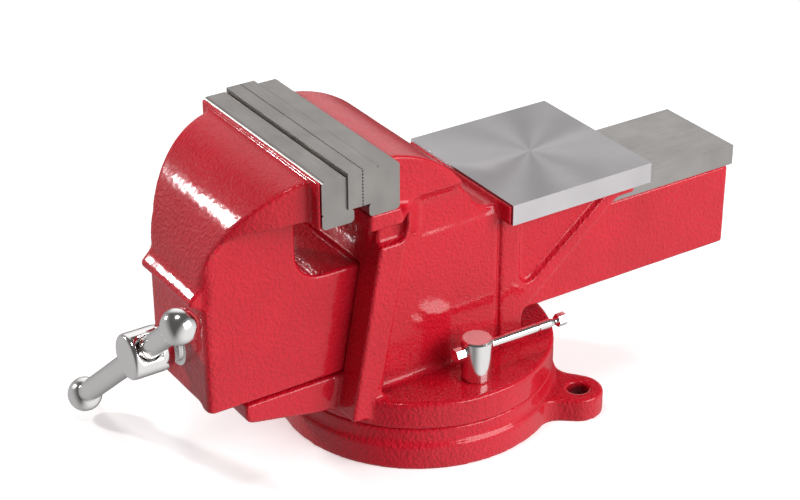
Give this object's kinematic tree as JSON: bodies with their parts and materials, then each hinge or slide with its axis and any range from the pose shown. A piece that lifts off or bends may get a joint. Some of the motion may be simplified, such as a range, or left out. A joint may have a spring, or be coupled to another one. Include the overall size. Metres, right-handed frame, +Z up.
{
  "type": "bench vise",
  "caption": "Heavy duty bench vise with a sliding jaw on a box beam, L-shaped jaw blocks with gripping inserts, a flat anvil plate and a lockable swivel base.",
  "frame": {"origin": "on the swivel axis, at the bench surface under the base", "axes": "+X along the jaws, +Y from the handle towards the anvil, +Z up; jaws closed"},
  "size_m": [0.2111, 0.473, 0.232],
  "materials": {
    "red_enamel": "glossy enamel over rough casting",
    "jaw_steel": "ground, satin",
    "anvil_steel": "faced, with turning marks",
    "slide_steel": "ground, satin",
    "polished_steel": "polished",
    "black_screws": "black oxide",
    "raw_iron": "machined casting"
  },
  "bodies": {
    "base": {"swivel_base": "red_enamel"},
    "frame": {"fixed_body": "red_enamel", "rear_jaw_block": "jaw_steel", "rear_jaw_insert": "jaw_steel", "rear_block_screws": "black_screws", "rear_insert_screws": "black_screws", "anvil_plate": "anvil_steel", "anvil_screws": "black_screws", "main_nut": "raw_iron", "nut_screws": "black_screws", "clamp_nuts": "raw_iron", "pivot_bolt": "black_screws", "pivot_washer": "black_screws"},
    "jaw": {"moving_jaw": "red_enamel", "front_jaw_block": "jaw_steel", "front_jaw_insert": "jaw_steel", "front_block_screws": "black_screws", "front_insert_screws": "black_screws", "slide_plate": "slide_steel", "slide_plate_screws": "black_screws"},
    "screw": {"lead_screw": "polished_steel", "thrust_washer": "polished_steel", "retaining_collar": "raw_iron", "collar_pin": "black_screws"},
    "handle": {"handle_bar": "polished_steel", "handle_knob_upper": "polished_steel", "handle_knob_lower": "polished_steel"},
    "lock_right": {"lock_bolt_right": "polished_steel"},
    "lock_left": {"lock_bolt_left": "polished_steel"},
    "lock_handle_right": {"lock_bar_right": "polished_steel", "lock_tip_right": "polished_steel"},
    "lock_handle_left": {"lock_bar_left": "polished_steel", "lock_tip_left": "polished_steel"}
  },
  "joints": [
    {"name": "swivel", "type": "hinge", "parent": "base", "child": "frame", "pos_m": [0, 0, 0.03], "axis": [0, 0, 1], "continuous": true},
    {"name": "jaw_slide", "type": "slide", "parent": "frame", "child": "jaw", "axis": [0, -1, 0], "range_m": [0, 0.15]},
    {"name": "screw_spin", "type": "hinge", "parent": "jaw", "child": "screw", "pos_m": [0, -0.2, 0.1025], "axis": [0, -1, 0], "range_deg": [0, 10800]},
    {"name": "handle_slide", "type": "slide", "parent": "screw", "child": "handle", "axis": [0.7627, 0, 0.6468], "range_m": [-0.048, 0.107]},
    {"name": "lock_turn_right", "type": "hinge", "parent": "frame", "child": "lock_right", "pos_m": [0.0735, 0, 0.05], "axis": [0, 0, 1], "range_deg": [-170, 0]},
    {"name": "lock_turn_left", "type": "hinge", "parent": "frame", "child": "lock_left", "pos_m": [-0.0735, 0, 0.05], "axis": [0, 0, 1], "range_deg": [0, 170]},
    {"name": "lock_bar_slide_right", "type": "slide", "parent": "lock_right", "child": "lock_handle_right", "axis": [0, -1, 0], "range_m": [0, 0.054]},
    {"name": "lock_bar_slide_left", "type": "slide", "parent": "lock_left", "child": "lock_handle_left", "axis": [0, -1, 0], "range_m": [0, 0.054]}
  ],
  "couplings": [
    {"joint": "jaw_slide", "follows": "screw_spin", "m_per_rad": 0.00079577}
  ]
}
